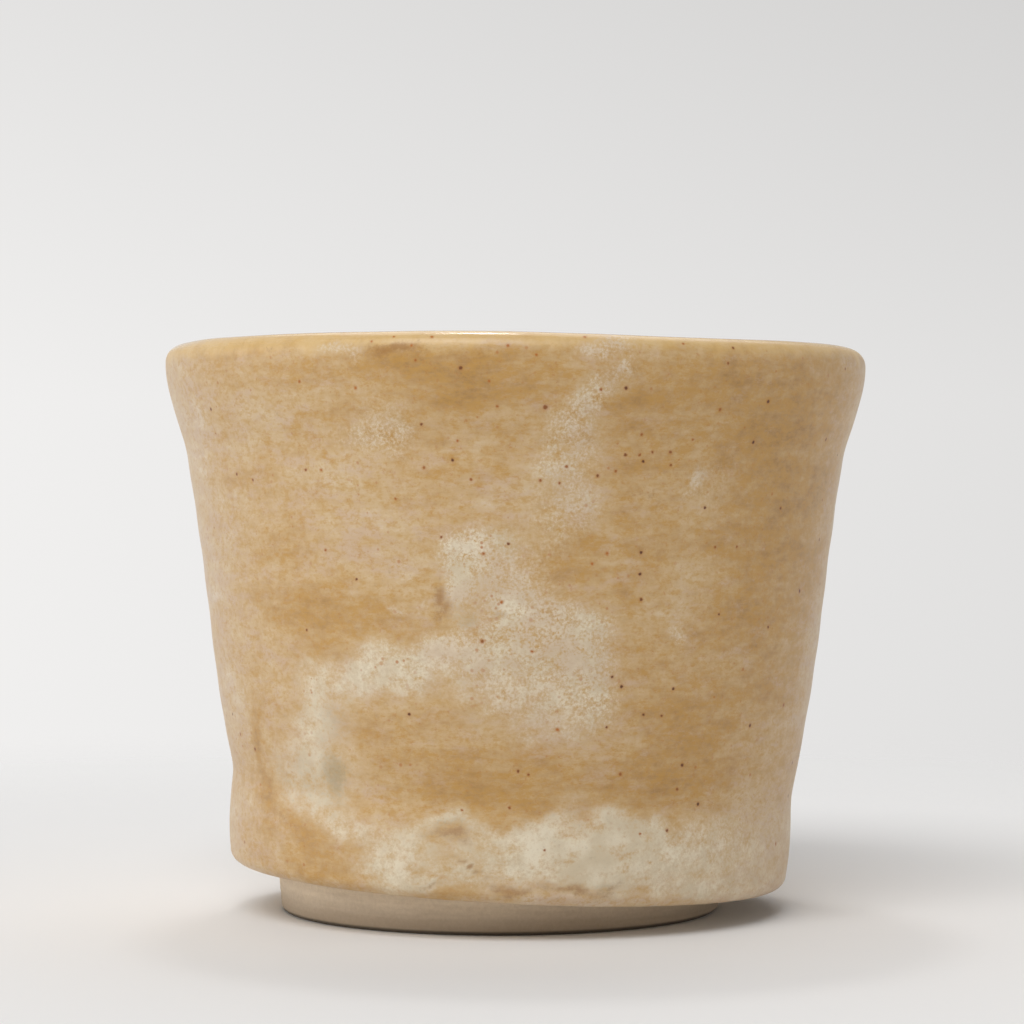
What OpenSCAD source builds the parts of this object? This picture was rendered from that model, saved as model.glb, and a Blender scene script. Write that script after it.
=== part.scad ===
// Wheel-thrown tea cup in stoneware. A flared wall stands upright on a low hip that is tipped a
// little, so the waist between them and the lower edge of the glaze both slant. It is glazed inside
// and out, has dabs of white glaze, and stands on an unglazed foot ring that was trimmed a little off
// centre. Millimetres, +Z up. The origin is on the wall's axis, at the table, and the side that is
// looked at is -Y.

/* [Wall] */
// Height of the cup, from the table to the top of the lip
cup_h = 67.5; // [63:0.5:80]
// Outside diameter at the widest line of the lip
rim_d = 84; // [81:0.5:92]
// Outside diameter where the wall starts to flare
flare_d = 78.6; // [75:0.2:80.6]
// Height where the wall starts to flare
flare_h = 54; // [46:0.5:58]
// Outside diameter of the lower wall
belly_d = 71; // [69:0.2:74.6]
// Height at which the lower wall is measured
belly_h = 26; // [22:0.5:36]
// Outside diameter at the waist, the groove between the wall and the hip
waist_d = 67; // [65:0.2:68.6]
// Height of the waist
waist_h = 15.2; // [13:0.2:18]

/* [Hip] */
// How far the hip stands out from the waist, on the radius
hip_out = 0.2; // [0:0.05:0.8]
// Height of the hip's widest line
hip_h = 10; // [8:0.5:12]
// How far the hip draws in on its way to the underside, on the radius
edge_in = 0.5; // [0:0.1:1.5]
// Rounding between the hip and the underside
edge_round = 1.6; // [0.8:0.1:2.2]
// Height of the underside over the table, at the middle
step_h = 4.4; // [3.6:0.1:5.4]
// Angle by which the hip and the underside are tipped, lower towards +X
tip = 2.9; // [0:0.1:3.6]
// Height at which the hip's tipped axis crosses the wall's upright one
tip_h = 22; // [14:1:30]

/* [Inside of the wall] */
// Thickness of the lip, both glazes included
lip_t = 4; // [3:0.1:5]
// Thickness of the wall, both glazes included
wall_t = 4.6; // [3.8:0.1:6]
// Thickness of the floor at its middle, glaze included
floor_t = 5.6; // [4.6:0.1:8]
// Diameter of the flat middle of the floor
floor_d = 36; // [24:1:44]
// Height of the curve from the floor up to the wall
floor_curve_h = 10; // [7:0.5:14]

/* [Foot] */
// Outside diameter of the foot ring under the cup
foot_d = 53.4; // [48:0.2:56]
// Outside diameter of the foot ring at the table
foot_base_d = 52.6; // [47:0.2:54.4]
// How far the foot ring sits off the wall's axis, towards +X
foot_x = -1.9; // [-2.4:0.1:2.4]
// Width of the foot ring's resting face, roundings included
foot_w = 6.4; // [4:0.2:9]
// Rounding of the edges of the resting face
foot_round = 0.8; // [0.3:0.1:1.5]
// How far the recess inside the ring narrows up to the underside, on the radius
recess_draft = 1.2; // [0:0.1:2.5]

/* [Glaze] */
// Thickness of the glaze coats
glaze_t = 0.6; // [0.3:0.05:1]
// How far the dabs of white glaze stand proud of the coat
dab_t = 0.2; // [0.1:0.05:0.4]
// Radius of a middling dab
dab_r = 5; // [3:0.25:5.5]

/* [Throwing rings] */
// Distance from one throwing ring to the next
ring_pitch = 6.5; // [4:0.5:12]
// Depth of the throwing rings outside
ring_depth = 0.08; // [0:0.02:0.3]
// Depth of the throwing rings inside
ring_depth_in = 0.35; // [0:0.05:0.6]

/* [Hidden] */

// Steps along the wall, the hip, the floor's curve and the small roundings
wall_steps = 48;
hip_steps = 8;
floor_steps = 12;
round_steps = 8;

// The lip is a half round on top of the wall
lip_r = lip_t / 2;
lip_z = cup_h - lip_r;
lip_c = rim_d / 2 - lip_r;

// The wall and the hip lap behind the groove of the waist, where each draws in
lap_h = 5;
lap_in = 1;
wall_z = waist_h - lap_h;
hip_z = waist_h + lap_h;

// The rounded lower edge stops short of level, so that the glaze ends in a clear lip
edge_turn = 70;
edge_z = step_h + edge_round * sin(edge_turn);

floor_z = step_h + floor_t;
floor_top = floor_z + floor_curve_h;
reach = rim_d;

// The wall's outside passes through these stations, as [radius, height]
stations = [
    [waist_d / 2 - lap_in, wall_z],
    [waist_d / 2, waist_h],
    [belly_d / 2, belly_h],
    [flare_d / 2, flare_h],
    [rim_d / 2, lip_z],
];

// Dabs of white glaze, as [angle from the front towards the right, height, size]. The height is a
// share of the way from the waist to the lip, or from the underside to the waist on the hip, and the
// size is in middling dabs. The first rows are the front, the last ones the back.
dab_in = waist_d / 2 - 2 * wall_t;
wall_dabs = [
    [10, 0.8, 0.85], [9, 0.66, 0.9], [30, 0.7, 0.7], [-22, 0.83, 0.65],
    [-3, 0.5, 1.1], [8, 0.4, 1.2], [1, 0.27, 1.3], [15, 0.28, 0.85],
    [-19, 0.3, 0.9], [-32, 0.28, 1], [-42, 0.15, 0.8],
    [88, 0.63, 0.9], [97, 0.51, 1.05], [118, 0.24, 1.1], [131, 0.18, 0.9], [150, 0.73, 0.95],
    [162, 0.59, 0.8], [176, 0.35, 1.2], [190, 0.26, 1.05], [214, 0.65, 1], [236, 0.45, 0.85],
    [248, 0.35, 1],
];
hip_dabs = [
    [-43, 0.61, 0.55], [-24, 0.39, 0.65], [-9, 0.43, 0.65], [5, 0.52, 0.8], [20, 0.5, 0.85],
    [35, 0.48, 0.85], [52, 0.46, 0.7], [206, 0.52, 0.75], [222, 0.46, 0.8],
];

// Cubic curve from a to b over a span, with the slopes at its two ends, at share t
function hermite(a, b, slope_a, slope_b, span, t) =
    (2 * pow(t, 3) - 3 * pow(t, 2) + 1) * a + (3 * pow(t, 2) - 2 * pow(t, 3)) * b
    + span * ((pow(t, 3) - 2 * pow(t, 2) + t) * slope_a + (pow(t, 3) - pow(t, 2)) * slope_b);

function bezier(a, b, c, d, t) =
    pow(1 - t, 3) * a + 3 * pow(1 - t, 2) * t * b + 3 * (1 - t) * pow(t, 2) * c + pow(t, 3) * d;

// 0 below low, 1 above high, and a smooth rise between them
function ease(low, high, x) =
    let (t = max(0, min(1, (x - low) / (high - low)))) t * t * (3 - 2 * t);

function arc(centre, r, from, to, steps) =
    [for (i = [0 : steps]) let (a = from + (to - from) * i / steps) centre + r * [cos(a), sin(a)]];

function reversed(points) = [for (i = [len(points) - 1 : -1 : 0]) points[i]];

// Slope of the wall at a station: upright at the lip, and no overshoot elsewhere
function rise(i) = (stations[i + 1][0] - stations[i][0]) / (stations[i + 1][1] - stations[i][1]);
function slope(i) =
    i == 0 ? rise(0)
    : i == len(stations) - 1 || rise(i - 1) * rise(i) <= 0 ? 0
    : 2 * rise(i - 1) * rise(i) / (rise(i - 1) + rise(i));
function span_at(z, i = 0) = i == len(stations) - 2 || z <= stations[i + 1][1] ? i : span_at(z, i + 1);

// Radius of the smooth outside of the wall at a height
function wall_r(z) =
    let (i = span_at(z), a = stations[i], b = stations[i + 1], span = b[1] - a[1])
    hermite(a[0], b[0], slope(i), slope(i + 1), span, (z - a[1]) / span);

// Throwing rings fade out below the belly and on the way to the lip
function ring(z) =
    ease(waist_h, belly_h, z) * (1 - ease(flare_h, lip_z, z)) * (1 - cos(360 * z / ring_pitch)) / 2;
function outside_r(z) = wall_r(z) - ring_depth * ring(z);
function thickness(z) = wall_t + (lip_t - wall_t) * ease(belly_h, lip_z, z);
function inside_r(z) = wall_r(z) - thickness(z) + ring_depth_in * ring(z);

// Radius of the hip at a height along its own axis
function hip_r(z) =
    waist_d / 2 + hip_out
    - (z > hip_h ? hip_out * pow((z - hip_h) / (waist_h - hip_h), 2)
        : edge_in * pow((hip_h - z) / (hip_h - step_h), 2));

// Outside of the wall from behind the waist to its widest line, moved inwards by inset
function wall_line(inset) =
    [for (i = [0 : wall_steps]) let (z = wall_z + (lip_z - wall_z) * i / wall_steps)
        [outside_r(z) - inset, z]];

// Outside of the hip from the underside to behind the waist, moved inwards by inset
function hip_line(inset) = concat(
    arc([hip_r(edge_z) - edge_round - inset, edge_z], edge_round, -edge_turn, 0, round_steps),
    [for (i = [1 : hip_steps]) let (z = edge_z + (hip_z - edge_z) * i / hip_steps) [hip_r(z) - inset, z]]
);

// Inside of the cup from the crest of the lip to the middle of the floor, moved into the clay by inset
function inner_line(inset) =
    let (
        corner = [inside_r(floor_top) + inset, floor_top],
        lean = inside_r(floor_top) - inside_r(floor_top - 1),
        flat = [floor_d / 2, floor_z - inset],
        pull = 0.55 * floor_curve_h
    )
    concat(
        arc([lip_c, lip_z], lip_r - inset, 90, 180, round_steps),
        [for (i = [1 : wall_steps - 1]) let (z = lip_z + (floor_top - lip_z) * i / wall_steps)
            [inside_r(z) + inset, z]],
        [for (i = [0 : floor_steps])
            bezier(corner, corner - pull * [lean, 1], flat + [pull, 0], flat, i / floor_steps)],
        [[0, floor_z - inset]]
    );

// Tips what it is given about the point where the hip's axis crosses the wall's
module tipped() {
    translate([0, 0, tip_h]) rotate([0, tip, 0]) translate([0, 0, -tip_h]) children();
}

// The cup as a filled form up to the crest of its lip, with its outside moved inwards by inset
module filled_form(inset) {
    rotate_extrude() polygon(concat(
        [[0, wall_z]],
        wall_line(inset),
        arc([lip_c, lip_z], lip_r - inset, 0, 90, round_steps),
        [[0, cup_h - inset]]
    ));
    tipped() rotate_extrude() polygon(concat([[0, step_h]], hip_line(inset), [[0, hip_z]]));
}

// Thrown wall and floor in one piece of clay
module clay_body() {
    color("#a3917b") difference() {
        filled_form(glaze_t);
        rotate_extrude() polygon(concat([[0, cup_h], [lip_c, cup_h]], inner_line(glaze_t)));
    }
}

// Foot ring, whose upper face has the slant of the underside that it carries
module foot_ring() {
    top = step_h + tan(tip) * foot_d + foot_round;
    outer = foot_base_d / 2;
    inner = outer - foot_w;
    color("#a3917b") intersection() {
        translate([foot_x, 0, 0]) rotate_extrude() polygon(concat(
            arc([inner + foot_round, foot_round], foot_round, 180, 270, round_steps),
            arc([outer - foot_round, foot_round], foot_round, 270, 360, round_steps),
            [[foot_d / 2, step_h], [foot_d / 2, top], [inner - recess_draft, top],
                [inner - recess_draft, step_h]]
        ));
        tipped() translate([-reach, -reach, step_h - cup_h]) cube([2 * reach, 2 * reach, cup_h]);
    }
}

// Glaze coat outside, from the slanted lower edge up to the crest of the lip
module outer_glaze() {
    color("#c9a878") difference() {
        filled_form(0);
        filled_form(glaze_t);
        translate([0, 0, lip_z]) cylinder(h = lip_t, r = lip_c);
    }
}

// Glaze coat inside, from the crest of the lip down over the floor
module liner_glaze() {
    color("#cdb083") rotate_extrude() polygon(concat(inner_line(0), reversed(inner_line(glaze_t))));
}

// Round shapes that reach out between two heights, one for each dab
module dab_shapes(dabs, low, high) {
    for (dab = dabs)
        rotate([0, 0, dab[0] - 90]) translate([dab_in, 0, low + dab[1] * (high - low)]) rotate([0, 90, 0])
            cylinder(h = reach - dab_in, r = dab[2] * dab_r, $fn = 48);
}

// Dabs of white glaze that lie on the outer coat
module white_dabs() {
    color("#d6c8ac") {
        intersection() {
            rotate_extrude() polygon(concat(wall_line(-dab_t), reversed(wall_line(0))));
            dab_shapes(wall_dabs, waist_h, lip_z);
        }
        tipped() intersection() {
            rotate_extrude() polygon(concat(hip_line(-dab_t), reversed(hip_line(0))));
            dab_shapes(hip_dabs, step_h, waist_h);
        }
    }
}

clay_body($fn = 180);
foot_ring($fn = 180);
outer_glaze($fn = 180);
liner_glaze($fn = 180);
white_dabs($fn = 180);
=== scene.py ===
import math
import random

import bmesh
import bpy
from bpy.props import FloatProperty, FloatVectorProperty, PointerProperty
from mathutils import Matrix, Vector, kdtree, noise
from mathutils.bvhtree import BVHTree


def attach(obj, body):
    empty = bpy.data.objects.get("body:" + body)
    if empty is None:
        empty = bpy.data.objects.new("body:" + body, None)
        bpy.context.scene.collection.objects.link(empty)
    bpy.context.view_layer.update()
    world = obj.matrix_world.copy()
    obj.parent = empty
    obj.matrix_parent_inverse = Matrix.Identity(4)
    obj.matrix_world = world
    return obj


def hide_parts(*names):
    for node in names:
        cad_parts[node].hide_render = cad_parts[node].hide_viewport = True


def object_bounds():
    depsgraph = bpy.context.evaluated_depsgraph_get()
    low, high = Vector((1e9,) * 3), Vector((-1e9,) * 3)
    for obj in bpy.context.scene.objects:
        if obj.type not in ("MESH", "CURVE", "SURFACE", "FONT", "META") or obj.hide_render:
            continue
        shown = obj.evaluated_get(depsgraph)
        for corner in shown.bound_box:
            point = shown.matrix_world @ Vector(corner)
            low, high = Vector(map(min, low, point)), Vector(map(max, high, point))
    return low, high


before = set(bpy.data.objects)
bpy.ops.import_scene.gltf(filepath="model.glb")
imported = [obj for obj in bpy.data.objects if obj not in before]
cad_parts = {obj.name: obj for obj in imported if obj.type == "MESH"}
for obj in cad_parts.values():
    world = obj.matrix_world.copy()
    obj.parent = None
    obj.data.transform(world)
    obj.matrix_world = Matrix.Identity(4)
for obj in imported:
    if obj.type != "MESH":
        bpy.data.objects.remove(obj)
CAD_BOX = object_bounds()

# A wheel-thrown stoneware tea cup: an ochre glaze outside with dabs of white glaze and iron specks, a
# honey-coloured liner, a bare clay underside and a bare foot ring. Lengths are metres, +Z is up and
# the side that is looked at is -Y. Angles on the wall run from the front towards +X.

bl_info = {
    "name": "Tea cup",
    "version": (1, 0, 0),
    "blender": (4, 5, 0),
    "location": "View3D > Sidebar > Tea cup",
    "description": "Builds a wheel-thrown tea cup with a mottled ochre glaze",
    "category": "Object",
}

MM = 0.001
WALL_TURNS = 336
FOOT_TURNS = 240
SEED = 11
SHARP_EDGE = math.radians(42)
MERGE_GAP = 1e-7

# How far a dab reaches, in its half widths, and the noise that shifts its outline, as width and reach in mm
DAB_FADE = 1.7
DAB_SHIFTS = ((1.5, 0.5), (3.5, 1.0), (8, 1.6))

# Dabs of white glaze, as angle, height, half width, half height, turn and strength, in degrees and mm
WHITE_DABS = (
    # broad and faint, under the others
    (8.5, 52, 4.4, 8, 0, 0.24), (-2, 39, 7, 7, 0, 0.35), (2, 31, 9, 6, 0, 0.42),
    (-26, 30, 13, 3.6, 0, 0.3), (-40, 20, 6, 7.5, 0, 0.3), (8, 9.4, 24, 4, 0, 0.42),
    (46, 9, 14, 4, 0, 0.14), (66, 10, 9, 5, 0, 0.12), (-21, 56, 6, 5, 0, 0.1), (32, 48, 5, 6, 0, 0.1),
    # under the lip and on the upper wall
    (-28, 64.9, 3.2, 0.8, 0, 0.5), (-25, 63.6, 1.2, 1.1, 0, 0.3), (-19, 55.6, 3.6, 3, 0, 0.3),
    (-23.5, 56, 3, 2.4, 0, 0.2), (-28, 56.8, 2.7, 1.8, 0, 0.2), (15, 62.7, 3, 2, 20, 0.4),
    (16.6, 63.2, 1.4, 0.9, 30, 0.4), (11.5, 60, 2.5, 1.6, 30, 0.45), (14, 65.9, 4.4, 1.2, 0, 0.6),
    (-19.5, 59.4, 4, 1.5, 0, 0.2), (9, 56, 3.6, 2.7, 0, 0.5), (6, 52.4, 2.6, 1.7, 0, 0.4),
    (8.4, 47.9, 3.8, 2.8, 0, 0.5), (30, 50.9, 1.7, 0.6, 40, 0.3), (28.6, 49.6, 1.4, 0.5, 35, 0.25),
    (34, 51.2, 4.8, 3.1, 0, 0.2),
    # middle of the wall
    (-6, 43.9, 3, 2.8, 0, 0.65), (-9, 40.4, 1.6, 2.4, 0, 0.85), (-3, 39.9, 2.6, 2.4, 0, 0.5),
    (4, 35.4, 4.4, 3.5, 0, 0.7), (12, 34.4, 3.4, 2.9, 20, 0.62), (8, 31.6, 5, 2.2, 0, 0.45),
    (-8, 31.4, 2.9, 2.4, 0, 0.75), (13, 28.8, 3.8, 3, -15, 0.52), (5, 27.8, 3, 2.4, 0, 0.42),
    (16, 24.6, 3.6, 2.6, 0, 0.3), (4, 22.8, 4, 1.6, 0, 0.3), (-3, 27.2, 4.4, 2.6, 0, 0.4),
    (7, 24.4, 5, 2.2, 0, 0.36), (30, 34.5, 1.8, 1.3, 0, 0.45), (4, 32.4, 3.4, 2, 0, 0.3),
    # flecks in the ochre on the left, and the long dab under them
    (-29, 38.1, 1.1, 0.9, 30, 0.4), (-22, 37, 1.2, 0.7, 0, 0.45), (-17, 36.9, 1.1, 1.1, 0, 0.35),
    (-38, 35.1, 1.3, 1.2, 0, 0.25), (-28, 35.3, 1, 0.6, 0, 0.3), (-32, 29.2, 7.8, 2.4, 0, 0.5),
    (-21, 30.2, 4.7, 2.6, 0, 0.62), (-15, 32.1, 2.3, 1.8, 0, 0.6), (-38, 23.9, 4.3, 2.9, 0, 0.62),
    (-42, 18.1, 5.1, 4.5, 0, 0.6), (-40, 14.3, 3.6, 1.8, 0, 0.32), (-36, 27, 3.6, 2.2, 0, 0.5),
    (-34, 13.4, 3.8, 1.4, 10, 0.35), (-29, 12.2, 3.6, 1.4, 0, 0.3),
    # band along the hip
    (-23, 10.3, 4.8, 3.3, 0, 0.5), (-27, 8.1, 4.2, 1.3, 0, 0.5), (-11, 13.1, 4.5, 0.9, 0, 0.6),
    (-9, 8.9, 4.5, 2, 0, 0.28), (3, 9.9, 5.5, 2.8, 0, 0.82), (16, 10.1, 5.8, 3.8, 0, 0.95),
    (24, 9.3, 4.6, 3.4, 0, 0.85), (18, 12.4, 4, 2.2, 0, 0.25), (33, 12, 4, 2, 0, 0.3),
    (41, 9.7, 3.8, 2.5, 0, 0.2), (50, 8.7, 4.6, 2.5, 0, 0.2), (-16, 7.1, 3.5, 1.1, 0, 0.5),
    (38, 5.9, 6.3, 1.1, 0, 0.5), (11, 16, 2, 0.9, 0, 0.4), (-20, 6.6, 6, 1.2, 0, 0.5),
    (-8, 6.2, 5, 0.9, 0, 0.3), (62, 5.2, 8, 2.2, 0, 0.25), (48, 5, 8, 1.8, 0, 0.25),
    (5, 13.6, 4.5, 1.6, 0, 0.5), (-10.5, 6.8, 3, 1.1, 0, 0.45), (36, 8.4, 4, 2.4, 0, 0.25),
    # sides and back
    (88, 46.9, 5, 3.4, 0, 0.8), (97, 40.9, 5.6, 4, 0, 0.85), (118, 27.3, 6.5, 3.6, 0, 0.85),
    (131, 24.3, 4.6, 3, 0, 0.7), (150, 51.9, 5, 3.6, 0, 0.8), (162, 44.9, 4.2, 2.8, 0, 0.6),
    (176, 32.8, 6.4, 4.4, 0, 0.95), (190, 28.3, 5.4, 3.6, 0, 0.75), (214, 47.9, 5.2, 3.8, 0, 0.8),
    (236, 37.8, 4.4, 3, 0, 0.6), (248, 32.8, 5.4, 3.4, 0, 0.85), (206, 10, 5.6, 3, 0, 0.85),
    (222, 9.4, 4.6, 2.6, 0, 0.8), (120, 10, 5, 2, 0, 0.6), (140, 8.6, 4, 1.6, 0, 0.5),
    (180, 33, 13, 5, 0, 0.45), (152, 49, 8, 7, 0, 0.32), (216, 46, 9, 6, 0, 0.36),
    (120, 28, 11, 5, 0, 0.4), (250, 34, 9, 6, 0, 0.4), (205, 9.6, 24, 4, 0, 0.5),
    (130, 9.4, 15, 3.4, 0, 0.42), (272, 21, 5, 8, 0, 0.45), (95, 43, 7, 8, 0, 0.36),
    (166, 62, 3, 1.4, 20, 0.5), (236, 60, 2.6, 2.4, 0, 0.4), (288, 49, 6, 4, 0, 0.2),
    (104, 35, 5, 4, 0, 0.42), (111, 31, 5, 3, 0, 0.45), (80, 52, 4, 3, 0, 0.4), (84, 57, 3, 2.4, 0, 0.3),
    (92, 60, 2.4, 1.6, 20, 0.35), (140, 26, 8, 2.6, 0, 0.45), (90, 9.4, 12, 3.4, 0, 0.42),
    (106, 9, 6, 2.6, 0, 0.55), (156, 56, 3.4, 3, 0, 0.4), (168, 41, 5, 5, 0, 0.45),
    (208, 41, 5, 5, 0, 0.4), (226, 42, 5, 4, 0, 0.4), (242, 28, 6, 4, 0, 0.4), (262, 12, 8, 4, 0, 0.4),
    (182, 9, 8, 3, 0, 0.5), (236, 10, 8, 3, 0, 0.45), (198, 38, 3, 5, 0, 0.5), (160, 39, 3, 4, 0, 0.5),
    (268, 30, 8, 2.4, 0, 0.5), (172, 28, 7, 2.4, 0, 0.6),
)

# Where the ochre glaze lies thick and golden, in the same terms. On the right side the broad patches are
# partly painted shade too, darkening the side away from the light.
THICK_OCHRE = (
    # broad: a band under the lip, the right side and a few places on the front
    (-5, 62.8, 16, 1.8, 0, 0.7), (30, 62.5, 16, 2.2, 0, 0.45), (-40, 63, 10, 1.5, 0, 0.3),
    (58, 62, 10, 3, 0, 0.6), (5, 58.5, 9, 3, 0, 0.3), (48, 56, 14, 8, 0, 0.85), (55, 44, 12, 10, 0, 0.6),
    (38, 30, 10, 8, 0, 0.4), (60, 30, 8, 10, 0, 0.3), (45, 50, 10, 8, 0, 0.5), (25, 44, 6, 4, 0, 0.45),
    (30, 55, 8, 5, 0, 0.25), (62, 52, 10, 13, 0, 0.4), (49, 42, 6, 5, 0, 0.55),
    (6, 15.4, 9, 1.5, 0, 0.38), (33, 15.5, 7, 1.6, 0, 0.5), (-19, 55.8, 3.6, 3.2, 0, 0.55),
    # smaller, on the front
    (-45, 65.6, 5.7, 0.9, 0, 0.7), (-33, 64.2, 2.9, 0.9, 0, 0.5), (-13, 64.6, 6.9, 1, 0, 0.8),
    (13, 65.2, 6.6, 0.9, 0, 0.35), (29, 65.1, 7.5, 0.9, 0, 0.4), (-7, 61.6, 8.7, 2.2, 0, 0.68),
    (-6, 64, 5, 1.4, 0, 0.5), (-1, 54.3, 3.3, 1.6, 0, 0.45), (-7, 51.3, 5.5, 1.1, 0, 0.3),
    (19, 55.2, 2.1, 7.6, 0, 0.5), (28, 58.8, 7.5, 4.9, 0, 0.45), (-46, 44.2, 6.8, 1.6, 0, 0.55),
    (9, 42.3, 3.8, 2.8, 0, 0.75), (52, 46.9, 6.2, 5.9, 0, 0.8), (-34, 35.8, 5.9, 3.6, 0, 0.8),
    (-21, 36, 5.2, 2.4, 0, 0.28), (-41, 38, 2.7, 3.4, 0, 0.5), (-16, 39.3, 4.6, 1.1, 0, 0.4),
    (43, 38.3, 6.1, 5.2, 0, 0.4), (19, 38.5, 1.4, 1.5, 0, 0.5), (-4, 28.8, 2.2, 1.9, 0, 0.5),
    (36, 24.5, 6.3, 4.9, 0, 0.7), (35, 18, 6.8, 2.5, 0, 0.8), (3, 17.5, 14.3, 2.9, 0, 0.6),
    (6, 19, 3.5, 0.6, 0, 0.6), (-10, 20.6, 1.8, 0.4, 0, 0.5), (-3, 21.4, 1.3, 0.3, 0, 0.5),
    (-16, 19.3, 6.9, 2.2, 0, 0.22), (-26, 22, 4.9, 1.8, 0, 0.28), (-58, 20.6, 1.6, 3.9, -10, 0.9),
    (-56, 15.8, 1.7, 1.6, 0, 0.8), (-47, 12.6, 2.3, 1, -40, 0.45), (-41, 8.8, 5.1, 2.7, 0, 0.7),
    (-46, 11.2, 3, 1.2, -30, 0.45), (-36, 7.2, 4, 1.2, -8, 0.6), (34, 11.3, 1.5, 1.8, 0, 0.6),
    (42, 12.6, 3, 1.4, 0, 0.45), (39, 8.6, 1.7, 1.3, 0, 0.45), (47, 10.6, 1.3, 1.6, 0, 0.4),
    # sides and back
    (80, 20, 9, 3, 0, 0.55), (110, 37, 8, 4, 0, 0.6), (140, 19, 14, 3, 0, 0.6), (165, 58, 8, 4, 0, 0.5),
    (185, 42, 7, 3.5, 0, 0.7), (205, 19, 12, 3, 0, 0.6), (225, 58, 7, 5, 0, 0.5), (262, 42, 6, 6, 0, 0.5),
    (150, 36, 8, 3, 0, 0.6), (232, 27, 9, 3, 0, 0.6), (196, 53, 9, 3, 0, 0.5), (100, 18, 12, 3, 0, 0.5),
    (170, 22, 10, 3, 0, 0.5), (285, 30, 8, 5, 0, 0.4), (120, 60, 16, 3, 0, 0.4), (215, 62, 18, 2, 0, 0.5),
    (270, 19, 9, 3, 0, 0.55), (128, 64.6, 9, 1, 0, 0.6), (180, 64.8, 9, 1, 0, 0.6),
    (235, 64.6, 8, 1, 0, 0.6),
)

# Where the glaze lies thin and pale, in the same terms
THIN_GLAZE = (
    (-69, 58.4, 6.5, 5.8, 0, 0.8), (-77, 42, 11.9, 14.2, 0, 0.75), (-74, 26.8, 6.6, 7.1, 0, 0.8),
    (-47, 59.8, 4.9, 3.6, 0, 0.45), (-28, 44.7, 7.5, 3.1, 0, 0.5), (-25, 41.2, 9.5, 1.3, 0, 0.5),
    (-50, 28.1, 3.5, 3.6, 0, 0.5), (-71, 12.5, 4.9, 2.8, 0, 0.7), (-60, 7.4, 2.3, 0.6, 0, 0.4),
    (41, 31.4, 3, 1.8, 0, 0.3), (28, 38.1, 4.5, 4.4, 0, 0.25), (32, 50.9, 5.7, 4, 0, 0.4),
    (29, 45.2, 3.3, 4, 0, 0.4), (41, 5.6, 6.9, 1.2, 0, 0.5), (-32, 52.5, 6.5, 4.4, 0, 0.25),
    (22, 4.4, 8, 1.3, 0, 0.9), (40, 4, 8, 1.4, 0, 0.9), (60, 4, 9, 2, 0, 0.8), (2, 4.6, 8, 0.8, 0, 0.6),
    (52, 9, 11, 5, 0, 0.65), (36, 8, 6, 4, 0, 0.4),
    # sides and back
    (108, 53, 7, 5, 0, 0.5), (140, 42, 8, 3, 0, 0.5), (200, 56, 7, 4, 0, 0.4), (255, 54, 7, 6, 0, 0.5),
    (76, 31, 6, 6, 0, 0.4), (150, 10, 6, 3, 0, 0.4), (84, 28, 9, 6, 0, 0.5), (98, 55, 12, 5, 0, 0.4),
    (136, 46, 10, 5, 0, 0.5), (160, 30, 8, 6, 0, 0.4), (222, 36, 9, 5, 0, 0.5), (186, 60, 10, 3, 0, 0.4),
    (240, 48, 9, 6, 0, 0.5), (110, 8, 12, 3, 0, 0.5), (200, 12, 12, 3, 0, 0.4), (262, 28, 8, 7, 0, 0.5),
)

# Brown smears where iron has gathered, in the same terms
IRON_SMEARS = (
    (-18, 65.4, 3.4, 0.9, 8, 0.85), (-7, 64.9, 1.7, 0.8, 0, 0.5), (-41, 65.6, 1.2, 0.4, 0, 0.3),
    (21, 50.3, 1.9, 1.1, 0, 0.3), (-11.9, 38.1, 1.3, 2, 8, 0.75), (-13, 35.6, 1.2, 1.2, 0, 0.5),
    (-3, 36, 1.3, 0.7, 0, 0.5), (-13, 11, 3, 0.8, -6, 0.65), (-8, 8.1, 3, 0.25, -13, 0.8),
    (1, 7.5, 0.8, 0.25, -10, 0.6), (-1, 6, 2.9, 0.7, -8, 0.7), (12, 6, 3.7, 0.7, -2, 0.7),
    (-15, 6.3, 2.1, 0.4, -4, 0.5), (18, 6.5, 0.9, 0.4, 0, 0.5), (-52, 14.2, 1.7, 0.8, -45, 0.3),
    (-46.5, 11.9, 2.3, 0.7, -35, 0.3), (-57.5, 19, 0.8, 3.2, -8, 0.25),
    # sides and back
    (120, 37, 1.2, 2.5, 0, 0.7), (170, 11, 3, 0.7, 5, 0.6), (195, 6.2, 3.5, 0.7, 0, 0.6),
    (250, 6.8, 3, 0.7, 0, 0.6), (155, 64.8, 3, 0.8, 0, 0.6),
)

# Grey-green shadows in the white glaze, in the same terms
OLIVE_SHADOWS = (
    (-36.4, 18.7, 1.6, 2.1, 0, 0.85), (-8, 35.4, 1.5, 1.1, 0, 0.5), (-13, 12.4, 2.7, 0.9, 0, 0.5),
    (-36, 24.5, 4.2, 3.4, 0, 0.35), (-43, 17.5, 5.6, 4.1, 0, 0.35), (16, 10.9, 6.9, 4.4, 0, 0.25),
    (-16, 6.6, 2.5, 0.6, 0, 0.4), (17, 6.6, 1.4, 0.6, 0, 0.5), (176, 30, 2, 2, 0, 0.6),
    (122, 25, 2, 2, 0, 0.5),
)

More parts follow.
